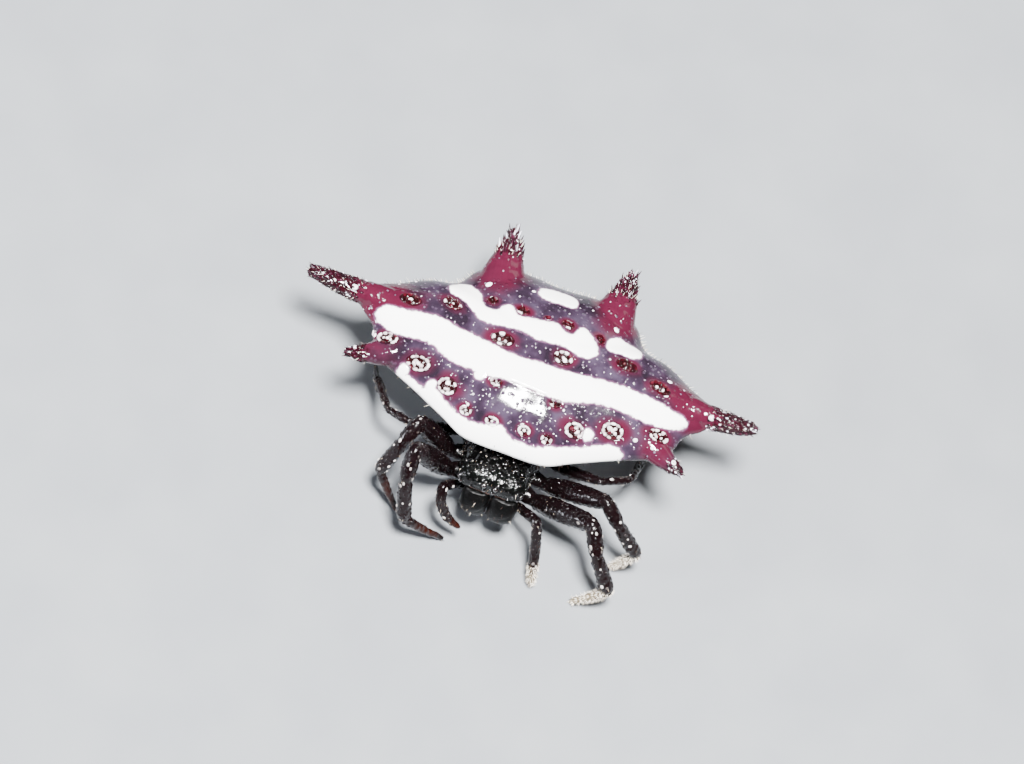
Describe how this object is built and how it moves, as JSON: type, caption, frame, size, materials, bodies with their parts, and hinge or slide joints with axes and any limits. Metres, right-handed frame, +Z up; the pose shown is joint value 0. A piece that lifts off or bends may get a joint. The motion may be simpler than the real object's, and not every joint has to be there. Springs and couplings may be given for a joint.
{
  "type": "spiny orb weaver",
  "caption": "Life-size still model of a spiny orb weaver spider with a wide, thorned, banded abdomen and drawn-in legs.",
  "frame": {"origin": "centre of the overall box at floor level, under the middle of the standing spider", "axes": "+X to the spider's left along the line of the side spines, -Y the way the spider faces, +Z up"},
  "size_m": [0.0162, 0.0102, 0.006],
  "materials": {
    "abdomen_plate": "glossy cuticle, crimson and purple with cream bands",
    "abdomen_belly": "dark leathery cuticle",
    "black_shell": "near-black granular cuticle",
    "leg_cuticle": "black to red-brown bristly cuticle",
    "eye_lens": "polished black lens"
  },
  "bodies": {
    "root": {"abdomen_shield": "abdomen_plate", "abdomen_underside": "abdomen_belly", "spinnerets": "abdomen_belly", "pedicel": "abdomen_belly", "carapace": "black_shell", "sternum": "black_shell", "chelicera_left": "black_shell", "chelicera_right": "black_shell", "palp_left": "leg_cuticle", "palp_right": "leg_cuticle", "leg_1_left_femur": "leg_cuticle", "leg_1_left_tibia": "leg_cuticle", "leg_1_left_foot": "leg_cuticle", "leg_2_left_femur": "leg_cuticle", "leg_2_left_tibia": "leg_cuticle", "leg_2_left_foot": "leg_cuticle", "leg_3_left_femur": "leg_cuticle", "leg_3_left_tibia": "leg_cuticle", "leg_3_left_foot": "leg_cuticle", "leg_4_left_femur": "leg_cuticle", "leg_4_left_tibia": "leg_cuticle", "leg_4_left_foot": "leg_cuticle", "leg_1_right_femur": "leg_cuticle", "leg_1_right_tibia": "leg_cuticle", "leg_1_right_foot": "leg_cuticle", "leg_2_right_femur": "leg_cuticle", "leg_2_right_tibia": "leg_cuticle", "leg_2_right_foot": "leg_cuticle", "leg_3_right_femur": "leg_cuticle", "leg_3_right_tibia": "leg_cuticle", "leg_3_right_foot": "leg_cuticle", "leg_4_right_femur": "leg_cuticle", "leg_4_right_tibia": "leg_cuticle", "leg_4_right_foot": "leg_cuticle", "eye_front_median_left": "eye_lens", "eye_front_median_right": "eye_lens", "eye_rear_median_left": "eye_lens", "eye_rear_median_right": "eye_lens", "eye_front_lateral_left": "eye_lens", "eye_front_lateral_right": "eye_lens", "eye_rear_lateral_left": "eye_lens", "eye_rear_lateral_right": "eye_lens"}
  },
  "joints": []
}
